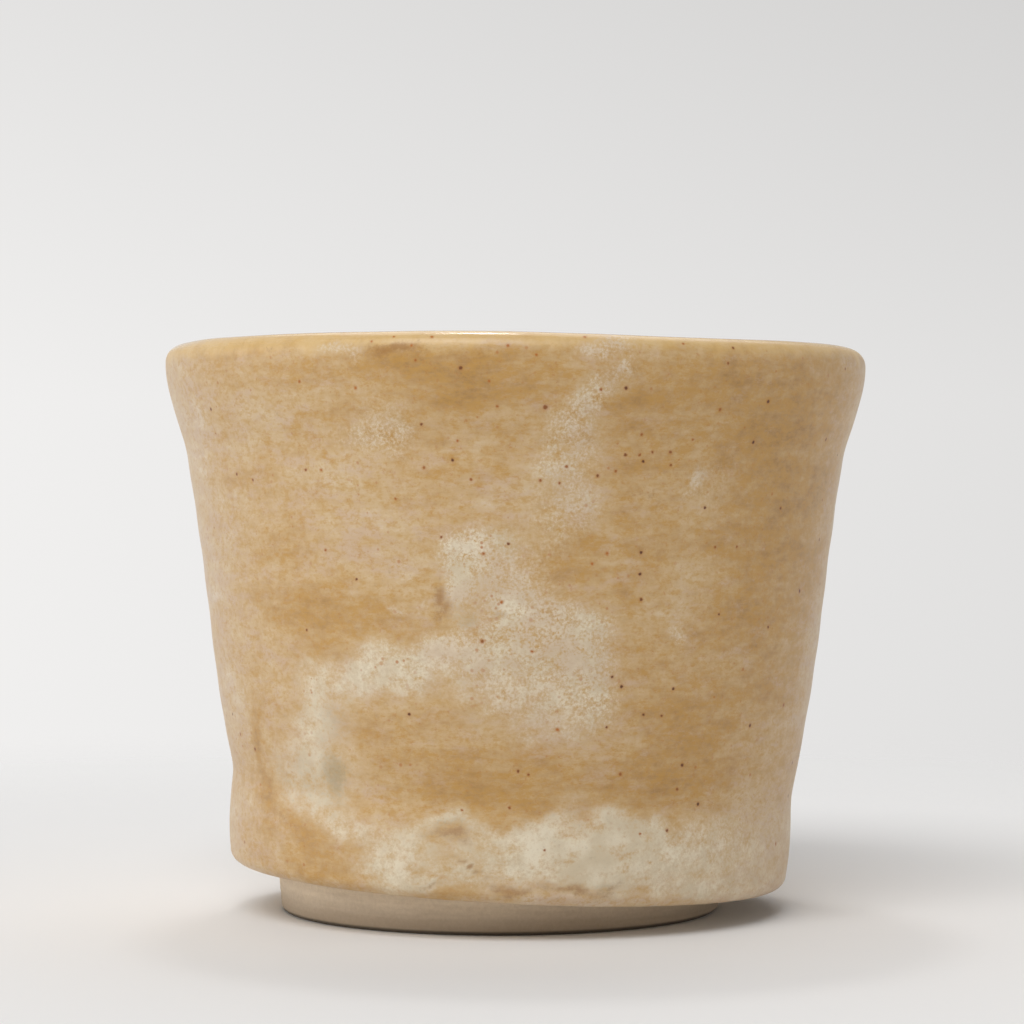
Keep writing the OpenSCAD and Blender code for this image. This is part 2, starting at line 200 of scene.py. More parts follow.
# Iron specks on the front, as angle, height, radius and how rusty they are
IRON_SPECKS = (
    (-8.2, 63.4, 0.26, 0.2), (-15, 64.3, 0.19, 0.8), (-10.1, 53.5, 0.22, 0), (-14.8, 52.7, 0.21, 0.6),
    (-25, 61.4, 0.2, 1), (-35, 62.2, 0.19, 0.9), (-2.8, 59.3, 0.17, 0.8), (-14.8, 57.4, 0.18, 0.2),
    (-9.2, 55.6, 0.17, 0.9), (-54.3, 52.1, 0.2, 0.3), (-49.7, 51.4, 0.18, 0.3), (-36.6, 52.5, 0.2, 0.4),
    (-33.4, 52.5, 0.19, 0.9), (-20, 49.3, 0.16, 0.8), (-12.4, 45.1, 0.19, 0.4), (-34, 43.6, 0.18, 0.7),
    (-28.1, 40.4, 0.18, 0.1), (-1.2, 44.4, 0.17, 0.2), (-5.4, 43.3, 0.2, 0.8), (-2.4, 38, 0.2, 0.9),
    (-7.2, 51.4, 0.17, 0.6), (-1.2, 65.8, 0.2, 0.9), (10.4, 66.8, 0.22, 0.9), (4.5, 59.2, 0.3, 0.4),
    (12.8, 61.1, 0.19, 0.7), (16.7, 61.3, 0.24, 0.1), (34.9, 65.9, 0.2, 0.3), (33.7, 64.2, 0.18, 0.5),
    (43.1, 60.1, 0.27, 0), (41.9, 55.6, 0.25, 0), (33.4, 59.1, 0.22, 0.7), (20.1, 56.3, 0.19, 0.7),
    (17.7, 54.1, 0.21, 0.3), (20.1, 54.1, 0.18, 0.6), (20.8, 53.4, 0.22, 0), (22.3, 54.4, 0.18, 0.5),
    (25.5, 54.4, 0.22, 0.5), (25.7, 53, 0.19, 0.5), (29.3, 55.8, 0.18, 0.8), (8.1, 52.8, 0.22, 0.6),
    (13.2, 51.8, 0.22, 0.3), (16.2, 52.3, 0.17, 0.7), (7, 51, 0.18, 0.6), (3.9, 51.3, 0.2, 0.6),
    (33.1, 48.3, 0.2, 0), (21.4, 43.4, 0.22, 0), (21.4, 41, 0.22, 0), (21.8, 38.2, 0.24, 0.2),
    (15.4, 43.3, 0.22, 1), (12.9, 42.2, 0.2, 1), (35.9, 43.9, 0.19, 0.6), (40.9, 43.9, 0.18, 0.6),
    (51.6, 48.2, 0.22, 0.2), (38, 36.4, 0.18, 0.2), (51.4, 34.7, 0.2, 0.2), (-19.4, 25.5, 0.21, 0),
    (-5.8, 33.7, 0.24, 0.5), (0.4, 19.3, 0.2, 0.3), (2.3, 18.9, 0.18, 0.5), (-10.2, 14.9, 0.16, 0.7),
    (-1.2, 15.2, 0.18, 0.5), (2.8, 32.6, 0.19, 0.9), (17.1, 29.7, 0.2, 0.1), (18.9, 28.6, 0.24, 0),
    (29.2, 28.2, 0.22, 0), (23.5, 25.4, 0.19, 0.1), (27.2, 25.2, 0.2, 0.3), (16.5, 24.1, 0.18, 0.2),
    (7.5, 23.9, 0.22, 1), (32.8, 19.5, 0.23, 0.1), (32.3, 16.8, 0.21, 0.5), (37.8, 14.9, 0.25, 0),
    (30.4, 12.2, 0.2, 0.3), (24.4, 12, 0.16, 0.8), (49.4, 23.5, 0.25, 0.1), (19.8, 18.8, 0.22, 0.6),
    (-39.8, 34.6, 0.18, 0.3), (5.4, 10.5, 0.15, 0.4), (-12.6, 66.8, 0.2, 1), (-15.6, 65.9, 0.18, 1),
    (-22, 66.4, 0.16, 1), (-18.6, 66.9, 0.15, 1), (3, 64.8, 0.16, 1), (26, 66.2, 0.17, 0.9),
    (-4, 62, 0.16, 1),
)

# How many more are drawn at random on the sides and the back
HIDDEN_SPECKS = 110

# Lamps, as name, place and extent in metres
LAMPS = (
    ("window", (-1.0, -0.1, 0.24), (0.8, 0.4)),
    ("fill", (1.0, -0.1, 0.24), (0.8, 0.4)),
    ("front_lamp", (-0.65, -1.61, 1.97), (1.8, 1.2)),
    ("top_lamp", (0.1, 1.15, 1.78), (1.6, 1.6)),
    ("glint", (-0.05, 0.36, 0.9), (0.1, 0.1)),
)


def size(name, description, millimetres, least=0.0):
    """A length that a user can change, with its default in millimetres."""
    return FloatProperty(
        name=name, description=description, default=millimetres * MM, min=least, precision=5,
        subtype="DISTANCE", unit="LENGTH",
    )


def tint(name, description, *display):
    """A colour that a user can change, with its default as display values from 0 to 255."""
    return FloatVectorProperty(
        name=name, description=description, default=[linear(value / 255) for value in display],
        min=0.0, max=1.0, size=3, subtype="COLOR",
    )


def power(name, description, watts):
    """The power of a lamp, which a user can change."""
    return FloatProperty(name=name, description=description, default=watts, unit="POWER")


def linear(value):
    """Linear light of a display value from 0 to 1."""
    return value / 12.92 if value <= 0.04045 else ((value + 0.055) / 1.055) ** 2.4


def ease(low, high, value):
    """0 below low, 1 above high, and a smooth rise between them."""
    share = max(0.0, min(1.0, (value - low) / (high - low)))
    return share * share * (3 - 2 * share)


class CupShape(bpy.types.PropertyGroup):
    """Sizes of the cup, as its solids have them, and the unevenness of the hand."""

    height: size("Height", "Table to the top of the lip", CAD_BOX[1].z / MM)
    rim_width: size("Rim width", "Outside diameter at the lip", (CAD_BOX[1].x - CAD_BOX[0].x) / MM)
    flare_width: size("Flare width", "Outside diameter where the wall starts to flare", 78.6)
    flare_height: size("Flare height", "Height where the wall starts to flare", 54)
    belly_width: size("Belly width", "Outside diameter of the lower wall", 71)
    belly_height: size("Belly height", "Height at which the lower wall is measured", 26)
    waist_width: size("Waist width", "Outside diameter at the groove over the hip", 67)
    waist_height: size("Waist height", "Height of the groove over the hip", 15.2)
    hip_out: size("Hip out", "How far the hip stands out from the waist", 0.2)
    hip_height: size("Hip height", "Height of the hip's widest line", 10)
    edge_in: size("Edge in", "How far the hip draws in on its way down", 0.5)
    edge_round: size("Edge rounding", "Rounding between the hip and the underside", 1.6)
    step_height: size("Step height", "Height of the underside at the middle", 4.4)
    tip_height: size("Tip height", "Where the hip's tipped axis crosses the upright one", 22)
    tip: FloatProperty(
        name="Tip", description="Angle by which the hip is tipped, lower towards +X",
        default=math.radians(2.9), subtype="ANGLE", unit="ROTATION",
    )
    lip_thickness: size("Lip thickness", "Thickness of the lip, glazes included", 4)
    wall_thickness: size("Wall thickness", "Thickness of the wall, glazes included", 4.6)
    floor_thickness: size("Floor thickness", "Thickness of the floor, glaze included", 5.6)
    floor_width: size("Floor width", "Diameter of the flat middle of the floor", 36)
    floor_curve: size("Floor curve", "Height of the curve from the floor to the wall", 10)
    foot_width: size("Foot width", "Outside diameter of the foot under the cup", 53.4)
    foot_base_width: size("Foot base width", "Outside diameter of the foot at the table", 52.6)
    foot_offset: size("Foot offset", "How far the foot sits off the axis, towards +X", -1.9, -3 * MM)
    foot_ring: size("Foot ring", "Width of the foot's resting face", 6.4)
    foot_round: size("Foot rounding", "Rounding of the resting face's edges", 0.8)
    recess_draft: size("Recess draft", "How far the recess narrows upwards", 1.2)
    glaze: size("Glaze", "Thickness of the glaze coats", 0.6)
    ring_pitch: size("Ring pitch", "Distance between throwing rings", 6.5)
    ring_depth: size("Ring depth", "Depth of the throwing rings outside", 0.06)
    ring_depth_inside: size("Ring depth inside", "Depth of the throwing rings inside", 0.35)
    lip_wave: size("Lip wave", "How far the lip rises and dips on its way round", 0.3)
    wobble: size("Wobble", "How far the wall strays from round", 0.14)
    dab_relief: size("Dab relief", "How far the white glaze stands proud", 0.1)
    trim_depth: size("Trimming depth", "Depth of the lines left by trimming the foot", 0.05)


class CupColours(bpy.types.PropertyGroup):
    """Colours of the glazes and the clay."""

    deep: tint("Deep ochre", "Ochre glaze at its thickest", 166, 126, 70)
    ochre: tint("Ochre", "Ochre glaze where it lies thick", 189, 151, 98)
    tan: tint("Tan", "Ochre glaze at its usual thickness", 203, 171, 124)
    pale: tint("Pale tan", "Ochre glaze where it lies thin", 211, 186, 147)
    blush: tint("Blush", "Ochre glaze at its thinnest, over the pink of the clay", 219, 200, 174)
    gold: tint("Gold", "Golden blotches in the ochre glaze", 193, 147, 72)
    rose: tint("Rose", "Pink of the clay, where it comes through", 203, 175, 149)
    cream: tint("Cream", "White glaze", 212, 197, 169)
    ivory: tint("Ivory", "White glaze at its thickest", 236, 226, 203)
    olive: tint("Olive", "Shadows in the white glaze", 160, 143, 110)
    iron: tint("Iron", "Brown smears", 158, 112, 58)
    rust: tint("Rust", "Rusty dots and specks", 180, 106, 34)
    speck: tint("Speck", "Dark iron specks", 88, 38, 4)
    lip: tint("Lip", "Thin golden glaze on the lip", 221, 187, 127)
    liner: tint("Liner", "Glaze inside the cup", 206, 175, 129)
    clay: tint("Clay", "Bare fired clay", 240, 222, 196)
    # The sand colour also serves as painted shade that darkens the clay towards the table.
    sand: tint("Sand", "Dark grains in the clay", 150, 128, 104)
    # Painted contact shadow: the dark colour put on the foot's rounded lower edge where it meets the table.
    painted_shadow: tint("Painted shadow", "Dark rounded edge round the face that the foot rests on", 72, 64, 52)
    table: tint("Table", "Floor under the cup", 238, 237, 236)
    backdrop: tint("Backdrop", "What is seen behind the cup", 233, 232, 231)


class CupStage(bpy.types.PropertyGroup):
    """Camera and lamps."""

    lens: FloatProperty(name="Lens", description="Focal length in millimetres", default=113.6, unit="CAMERA")
    eye: FloatVectorProperty(
        name="Eye", description="Where the camera stands", default=(-0.00042, -0.390, 0.0496),
        size=3, subtype="TRANSLATION", unit="LENGTH",
    )
    pitch: FloatProperty(
        name="Pitch", description="How far the camera looks down", default=math.radians(0.284),
        subtype="ANGLE", unit="ROTATION",
    )
    sky: FloatProperty(name="Sky", description="Strength of the light from all round", default=0.26)
    slant: FloatProperty(name="Slant", description="How much more of it comes from the left", default=0.3)
    window: power("Window", "Power of the low lamp on the left", 1.8)
    fill: power("Fill", "Power of the low lamp on the right", 0.9)
    front_lamp: power("Front lamp", "Power of the large lamp at the front left", 38.0)
    top_lamp: power("Top lamp", "Power of the large lamp overhead", 10.5)
    glint: power("Glint", "Power of the small lamp for the lip", 0.8)


class Outline:
    """Radii and lines of the cup's form, worked out from its sizes."""

    WALL_ROWS = 118
    LIP_ROWS = 26
    EDGE_ROWS = 9
    FLOOR_ROWS = 18
    INSIDE_ROWS = 74
    EDGE_TURN = math.radians(70)
    LAP = 5 * MM
    LAP_IN = 1 * MM
    GROOVE_BLEND = 0.25 * MM
    DIP_ANGLE = 0.5
    DIP_WIDTH = 0.42

    def __init__(self, shape):
        self.shape = shape
        self.lip_radius = shape.lip_thickness / 2
        self.lip_height = shape.height - self.lip_radius
        self.lip_middle = shape.rim_width / 2 - self.lip_radius
        self.edge_height = shape.step_height + shape.edge_round * math.sin(self.EDGE_TURN)
        self.floor_height = shape.step_height + shape.floor_thickness
        self.floor_top = self.floor_height + shape.floor_curve
        self.stations = (
            (shape.waist_width / 2 - self.LAP_IN, shape.waist_height - self.LAP),
            (shape.waist_width / 2, shape.waist_height),
            (shape.belly_width / 2, shape.belly_height),
            (shape.flare_width / 2, shape.flare_height),
            (shape.rim_width / 2, self.lip_height),
        )

    def rise(self, i):
        (low, bottom), (high, top) = self.stations[i:i + 2]
        return (high - low) / (top - bottom)

    def slope(self, i):
        """Slope of the wall at a station: upright at the lip, and no overshoot elsewhere."""
        if i == 0:
            return self.rise(0)
        if i == len(self.stations) - 1:
            return 0.0
        under, over = self.rise(i - 1), self.rise(i)
        return 2 * under * over / (under + over)

    def wall(self, z):
        """Radius of the smooth outside of the wall at a height."""
        i = 0
        while i < len(self.stations) - 2 and z > self.stations[i + 1][1]:
            i += 1
        (a, bottom), (b, top) = self.stations[i:i + 2]
        span = top - bottom
        t = max(0.0, (z - bottom) / span)
        return (
            (2 * t ** 3 - 3 * t ** 2 + 1) * a + (3 * t ** 2 - 2 * t ** 3) * b
            + span * ((t ** 3 - 2 * t ** 2 + t) * self.slope(i) + (t ** 3 - t ** 2) * self.slope(i + 1))
        )

    def hip(self, z):
        """Radius of the hip at a height along its own axis."""
        shape = self.shape
        widest = shape.waist_width / 2 + shape.hip_out
        if z > shape.hip_height:
            above = (z - shape.hip_height) / (shape.waist_height - shape.hip_height)
            return widest - shape.hip_out * above ** 2
        below = (shape.hip_height - z) / (shape.hip_height - shape.step_height)
        return widest - shape.edge_in * below ** 2

    def ring(self, z):
        """Throwing rings, from 0 to 1, which fade out below the belly and on the way to the lip."""
        shape = self.shape
        fade = ease(shape.waist_height, shape.belly_height, z)
        fade *= 1 - ease(shape.flare_height, self.lip_height, z)
        return fade * (1 - math.cos(2 * math.pi * z / shape.ring_pitch)) / 2

    def outside(self, z):
        """Outside radius of the cup, where the wall and the hip meet in a soft groove."""
        wall = self.wall(z) - self.shape.ring_depth * self.ring(z)
        hip = self.hip(z)
        return (wall + hip + math.hypot(wall - hip, self.GROOVE_BLEND)) / 2

    def inside(self, z):
        shape = self.shape
        thinner = ease(shape.belly_height, self.lip_height, z) * (shape.lip_thickness - shape.wall_thickness)
        return self.wall(z) - shape.wall_thickness - thinner + shape.ring_depth_inside * self.ring(z)

    def outer_line(self, inset, thin=1):
        """Outside from the lower edge to the crest of the lip, moved inwards by inset."""
        edge_middle = self.outside(self.edge_height) - self.shape.edge_round - inset
        line = arc((edge_middle, self.edge_height), self.shape.edge_round, -self.EDGE_TURN, 0, self.EDGE_ROWS)
        rows = self.WALL_ROWS // thin
        for i in range(1, rows):
            z = self.edge_height + (self.lip_height - self.edge_height) * i / rows
            line.append((self.outside(z) - inset, z))
        lip = (self.lip_middle, self.lip_height)
        return line + arc(lip, self.lip_radius - inset, 0, math.pi / 2, self.LIP_ROWS // thin)

    def inner_line(self, inset, thin=1):
        """Inside from the crest of the lip to the middle of the floor, moved into the clay by inset."""
        lip = (self.lip_middle, self.lip_height)
        line = arc(lip, self.lip_radius - inset, math.pi / 2, math.pi, self.LIP_ROWS // thin)
        rows = self.INSIDE_ROWS // thin
        for i in range(1, rows):
            z = self.lip_height + (self.floor_top - self.lip_height) * i / rows
            line.append((self.inside(z) + inset, z))
        pull = 0.55 * self.shape.floor_curve
        lean = (self.inside(self.floor_top) - self.inside(self.floor_top - MM)) / MM
        corner = Vector((self.inside(self.floor_top) + inset, self.floor_top))
        flat = Vector((self.shape.floor_width / 2, self.floor_height - inset))
        bend = (corner, corner - pull * Vector((lean, 1)), flat + Vector((pull, 0)), flat)
        line += [tuple(bezier(bend, i / self.FLOOR_ROWS)) for i in range(self.FLOOR_ROWS + 1)]
        rows = self.FLOOR_ROWS
        line += [(flat.x * (1 - i / rows), flat.y) for i in range(1, rows + 1)]
        return line

    def underside(self, x):
        """Height of the slanted underside at a distance to the right."""
        shape = self.shape
        middle = shape.tip_height + (shape.step_height - shape.tip_height) / math.cos(shape.tip)
        return middle - x * math.tan(shape.tip)

    def thrown(self, point):
        """Moves a point as the hand did: a lip that waves and a wall that isn't quite round."""
        shape = self.shape
        angle = wall_angle(point)
        out = Vector((math.sin(angle), -math.cos(angle), 0))
        way_up = ease(shape.flare_height - 10 * MM, self.lip_height, point.z)
        slow = noise.noise(Vector((out.x * 1.3, out.y * 1.3, point.z / (22 * MM))))
        quick = noise.noise(Vector((out.x * 5, out.y * 5, point.z / (7 * MM) + 9)))
        flutter = noise.noise(Vector((out.x * 4, out.y * 4, 3.5)))
        dip = math.exp(-((angle - self.DIP_ANGLE) / self.DIP_WIDTH) ** 2)
        lift = way_up * shape.lip_wave * (0.3 * flutter - out.x - 0.67 * out.x ** 2 - dip)
        return point + shape.wobble * (slow + 0.2 * quick) * out + Vector((0, 0, lift))

    def tipped(self, point):
        """Tips a point of the hip, and lets the tip run out in the lower wall."""
        shape = self.shape
        share = 1 - ease(shape.waist_height - 2 * MM, shape.tip_height, point.z)
        middle = Vector((0, 0, shape.tip_height))
        return middle + Matrix.Rotation(shape.tip * share, 3, "Y") @ (point - middle)


def arc(middle, radius, start, end, steps):
    """Points on an arc, both ends included."""
    turns = [start + (end - start) * i / steps for i in range(steps + 1)]
    return [(middle[0] + radius * math.cos(a), middle[1] + radius * math.sin(a)) for a in turns]


def bezier(points, t):
    a, b, c, d = points
    return (1 - t) ** 3 * a + 3 * (1 - t) ** 2 * t * b + 3 * (1 - t) * t ** 2 * c + t ** 3 * d


def wall_angle(point):
    """Angle from the front towards +X."""
    return math.atan2(point.x, -point.y)


def spun(line, closed, steps):
    """A bmesh of a line of radii and heights, turned once round the upright axis."""
    bm = bmesh.new()
    verts = [bm.verts.new((0, -radius, z)) for radius, z in line]
    ends = verts[1:] + verts[:1] if closed else verts[1:]
    edges = [bm.edges.new(pair) for pair in zip(verts, ends)]
    bmesh.ops.spin(
        bm, geom=verts + edges, cent=(0, 0, 0), axis=(0, 0, 1), angle=2 * math.pi, steps=steps, use_merge=True
    )
    bmesh.ops.remove_doubles(bm, verts=bm.verts, dist=MERGE_GAP)
    bmesh.ops.recalc_face_normals(bm, faces=bm.faces)
    return bm


def piece(name, bm, material, slot, *nodes):
    """Turns a bmesh into a smooth piece that stands for some of the cup's solids."""
    for face in bm.faces:
        face.smooth = True
    for edge in bm.edges:
        edge.smooth = edge.calc_face_angle(0) < SHARP_EDGE
    mesh = bpy.data.meshes.new(name)
    bm.to_mesh(mesh)
    mesh.materials.append(material)
    made = bpy.data.objects.new(name, mesh)
    bpy.context.scene.collection.objects.link(made)
    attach(made, "root")
    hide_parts(*nodes)
    return made


def cover(dabs, point):
    """How much of a list of dabs lies at a point of the wall, from 0 to 1."""
    left = 1.0
    angle = wall_angle(point)
    radius = math.hypot(point.x, point.y) / MM
    height = point.z / MM
    for dab_angle, dab_height, half_width, half_height, turn, strength in dabs:
        up = height - dab_height
        reach = DAB_FADE * max(half_width, half_height)
        if abs(up) > reach:
            continue
        across = math.remainder(angle - math.radians(dab_angle), 2 * math.pi) * radius
        if abs(across) > reach:
            continue
        cos = math.cos(math.radians(turn))
        sin = math.sin(math.radians(turn))
        along = (across * cos + up * sin) / half_width
        over = (up * cos - across * sin) / half_height
        left *= 1 - strength * (1 - ease(0.1, DAB_FADE, math.hypot(along, over)))
    return 1 - left


def faces_out(vertex):
    """Whether a vertex lies on the outside of the wall, and not on the side of the clay."""
    return vertex.normal.x * vertex.co.x + vertex.normal.y * vertex.co.y > 0


def paint(made, layers):
    """Stores how much of each layer of glaze lies at every point of a piece's outside."""
    noise.seed_set(SEED)
    places = []
    for vertex in made.data.vertices:
        shift = Vector()
        for width, reach in DAB_SHIFTS:
            shift += reach * noise.noise_vector(vertex.co / (width * MM))
        places.append(vertex.co + shift * MM if faces_out(vertex) else None)
    for name, dabs in layers.items():
        layer = made.data.attributes.new(name, "FLOAT", "POINT")
        layer.data.foreach_set("value", [cover(dabs, place) if place else 0.0 for place in places])


def sprinkle(made, bm):
    """Gives each face of the wall the nearest iron speck: its place, its radius and how rusty it is."""
    draw = random.Random(SEED)
    specks = list(IRON_SPECKS)
    for _ in range(HIDDEN_SPECKS):
        small = draw.random() ** 2
        specks.append((draw.uniform(58, 302), draw.uniform(8, 66), 0.26 - 0.12 * small, draw.random()))
    skin = BVHTree.FromBMesh(bm)
    tree = kdtree.KDTree(len(specks))
    for i, (degrees, height, radius, rusty) in enumerate(specks):
        angle = math.radians(degrees)
        out = Vector((math.sin(angle), -math.cos(angle), 0))
        start = out * made.dimensions.x + Vector((0, 0, height * MM))
        place = skin.ray_cast(start, -out)[0]
        if place is None:
            raise RuntimeError(f"The speck at {degrees} degrees and {height} mm isn't on the wall")
        tree.insert(place, i)
    tree.balance()
    found = [tree.find(face.center) for face in made.data.polygons]
    places = made.data.attributes.new("speck_place", "FLOAT_VECTOR", "FACE")
    places.data.foreach_set("vector", [value for place, _, _ in found for value in place])
    sizes = made.data.attributes.new("speck_radius", "FLOAT", "FACE")
    sizes.data.foreach_set("value", [specks[i][2] * MM for _, i, _ in found])
    tones = made.data.attributes.new("speck_rust", "FLOAT", "FACE")
    tones.data.foreach_set("value", [float(specks[i][3]) for _, i, _ in found])


class Graph:
    """Adds shader nodes to a node tree and links what each one takes in."""

    def __init__(self, tree):
        self.tree = tree
        tree.nodes.clear()

    def node(self, kind, inputs=None, **settings):
        made = self.tree.nodes.new("ShaderNode" + kind)
        for name, value in settings.items():
            setattr(made, name, value)
        for name, value in (inputs or {}).items():
            self.feed(made.inputs[name], value)
        return made

    def feed(self, socket, value):
        if isinstance(value, bpy.types.NodeSocket):
            self.tree.links.new(value, socket)
        elif socket.type == "RGBA":
            socket.default_value = (*value, 1.0)
        else:
            socket.default_value = value

    def math(self, operation, first, second):
        return self.node("Math", {0: first, 1: second}, operation=operation).outputs[0]

    def times(self, first, second):
        return self.math("MULTIPLY", first, second)

    def plus(self, *parts):
        """Sum of pairs of a value and its weight."""
        total = 0.0
        for value, weight in parts:
            made = self.node("Math", {0: value, 1: weight, 2: total}, operation="MULTIPLY_ADD")
            total = made.outputs[0]
        return total

    def grain(self, place, width, detail=2.0, roughness=0.5):
        """Noise from -0.5 to 0.5 whose lumps have about the given width."""
        inputs = {"Vector": place, "Scale": 1 / width, "Detail": detail, "Roughness": roughness}
        return self.math("SUBTRACT", self.node("TexNoise", inputs).outputs[0], 0.5)

    def dots(self, place, spacing, radius, share):
        """Round dots up to a radius in a random scatter, drawn in the given share of the scatter's cells."""
        cells = self.node("TexVoronoi", {"Vector": place, "Scale": 1 / spacing})
        chance = self.node("SeparateColor", {0: cells.outputs["Color"]}).outputs
        chosen = self.math("LESS_THAN", chance[0], share)
        rim = self.plus((chance[1], 0.7 * radius / spacing), (1.0, 0.3 * radius / spacing))
        core = self.times(rim, 0.4)
        return self.times(self.between(cells.outputs["Distance"], rim, core), chosen)

    def between(self, value, low, high):
        """0 at low, 1 at high, and a smooth rise between them."""
        inputs = {"Value": value, "From Min": low, "From Max": high}
        return self.node("MapRange", inputs, interpolation_type="SMOOTHSTEP").outputs[0]

    def mix(self, share, under, over):
        made = self.node("Mix", data_type="RGBA")
        self.feed(made.inputs[0], share)
        self.feed(made.inputs[6], under)
        self.feed(made.inputs[7], over)
        return made.outputs[2]

    def ramp(self, value, *stops):
        made = self.node("ValToRGB", {0: value})
        points = made.color_ramp.elements
        for i, (place, colour) in enumerate(stops):
            point = points[i] if i < 2 else points.new(place)
            point.position = place
            point.color = (*colour, 1.0)
        return made.outputs[0]

    def layer(self, name):
        return self.node("Attribute", attribute_name=name).outputs["Fac"]

    def height(self, place):
        return self.node("SeparateXYZ", {0: place}).outputs["Z"]

    def squeezed(self, place, upright):
        """Coordinates in which a pattern is drawn out sideways."""
        return self.node("Mapping", {"Vector": place, "Scale": (1, 1, upright)}).outputs[0]

    def surface(self, colour, roughness, bump, bump_height):
        """Ends the material in a surface with the given colour, roughness and relief."""
        relief = self.node("Bump", {"Height": bump, "Distance": bump_height, "Strength": 1.0}).outputs[0]
        shader = self.node("BsdfPrincipled", {"Base Color": colour, "Roughness": roughness, "Normal": relief})
        self.node("OutputMaterial", {"Surface": shader.outputs[0]})


def new_material(name):
    """A material with an empty graph, the graph, and the object coordinates to draw patterns with."""
    made = bpy.data.materials.new(name)
    made.use_nodes = True
    graph = Graph(made.node_tree)
    return made, graph, graph.node("TexCoord").outputs["Object"]


def glaze_ground(graph, place, colours, thickness):
    """Ochre glaze, from its thickest to its thinnest, with streaks of the brush, blotches and rusty dots."""
    cloud = graph.grain(graph.squeezed(place, 1.8), 11 * MM, 5.0, 0.65)
    streak = graph.grain(graph.squeezed(place, 6), 15 * MM, 6.0, 0.7)
    blotch = graph.grain(graph.squeezed(place, 2.0), 2.8 * MM, 4.0, 0.65)
    fine = graph.grain(place, 1.1 * MM, 4.0, 0.7)
    depth = graph.plus((cloud, 0.75), (streak, 0.85), (blotch, 0.75), (fine, 0.45), (thickness, 1.0))
    ground = graph.ramp(
        graph.math("ADD", depth, 0.56), (0.0, colours.deep), (1.0, colours.blush), (0.28, colours.ochre),
        (0.55, colours.tan), (0.8, colours.pale),
    )
    pink = graph.grain(graph.squeezed(place, 2.2), 4.5 * MM, 6.0, 0.78)
    rosy = graph.between(graph.plus((pink, 1.0), (thickness, 0.25)), -0.04, 0.16)
    ground = graph.mix(graph.times(rosy, 0.65), ground, colours.rose)
    yellow = graph.grain(graph.squeezed(place, 2.2), 2.6 * MM, 6.0, 0.8)
    golden = graph.between(graph.plus((yellow, 1.0), (thickness, -0.2)), -0.01, 0.17)
    ground = graph.mix(graph.times(golden, 0.72), ground, colours.gold)
    mottle = graph.between(graph.grain(graph.squeezed(place, 1.4), 0.9 * MM, 3.0, 0.7), -0.02, 0.16)
    ground = graph.mix(graph.times(mottle, 0.5), ground, colours.gold)
    grains = graph.between(graph.grain(place, 0.45 * MM, 3.0, 0.7), 0.08, 0.2)
    ground = graph.mix(graph.times(grains, 0.28), ground, colours.rust)
    patches = graph.between(graph.grain(place, 7 * MM, 2.0), -0.1, 0.2)
    dots = graph.dots(place, 1.1 * MM, 0.3 * MM, 0.4)
    return graph.mix(graph.times(dots, graph.plus((patches, 0.5), (1.0, 0.15))), ground, colours.rust)


def golden_lip(graph, place, shape, colours, ground):
    """The lip, where the glaze has run thin and shows golden. Returns the colour and where its crest is."""
    height = graph.height(place)
    ragged = graph.plus((height, 1.0), (graph.grain(graph.squeezed(place, 0.6), 4 * MM, 5.0, 0.65), 4.5 * MM))
    top = graph.between(ragged, shape.height - 2.6 * MM, shape.height - 1.0 * MM)
    crest = graph.between(height, shape.height - 1.1 * MM, shape.height - 0.4 * MM)
    run = graph.between(graph.grain(graph.squeezed(place, 0.6), 3 * MM, 4.0, 0.7), -0.02, 0.2)
    thin = graph.mix(graph.times(run, 0.45), colours.lip, colours.gold)
    return graph.mix(graph.times(top, 0.65), ground, thin), crest


def white_glaze(graph, place, colours, ground, crumbs, clumps):
    """White glaze over the ground, broken into grains with rusty ones among them. Returns it and where."""
    broad = graph.grain(graph.squeezed(place, 1.5), 6 * MM, 3.0, 0.6)
    across, _, height = graph.node("SeparateXYZ", {0: place}).outputs
    coarse = graph.between(graph.plus((height, 1.0), (across, 0.6)), 18 * MM, 36 * MM)
    grainy = graph.times(crumbs, graph.plus((coarse, 3.0), (1.0, 0.6)))
    brush = graph.grain(graph.squeezed(place, 5), 6 * MM, 5.0, 0.7)
    uneven = graph.plus((grainy, 1.0), (clumps, 2.7), (brush, 0.6), (broad, 1.0), (1.0, 1.0))
    white = graph.between(graph.times(graph.layer("white"), uneven), 0.02, 0.95)
    thick = graph.between(graph.plus((graph.grain(place, 3.5 * MM, 3.0), 1.0), (crumbs, 0.8)), -0.2, 0.3)
    cream = graph.mix(thick, colours.cream, colours.ivory)
    rosy = graph.between(graph.grain(graph.squeezed(place, 1.2), 7 * MM, 4.0, 0.65), -0.1, 0.15)
    rosy = graph.times(rosy, graph.between(height, 14 * MM, 24 * MM))
    cream = graph.mix(graph.times(rosy, 0.5), cream, colours.rose)
    gaps = graph.mix(graph.times(graph.layer("white"), 0.4), ground, colours.gold)
    colour = graph.mix(graph.times(white, 0.9), gaps, cream)
    rusty = graph.dots(place, 0.75 * MM, 0.34 * MM, 0.6)
    where = graph.between(graph.grain(graph.squeezed(place, 0.8), 6 * MM, 3.0), -0.12, 0.15)
    where = graph.times(where, graph.between(height, 6 * MM, 30 * MM))
    share = graph.times(graph.times(rusty, where), graph.times(white, 0.8))
    return graph.mix(share, colour, colours.rust), white


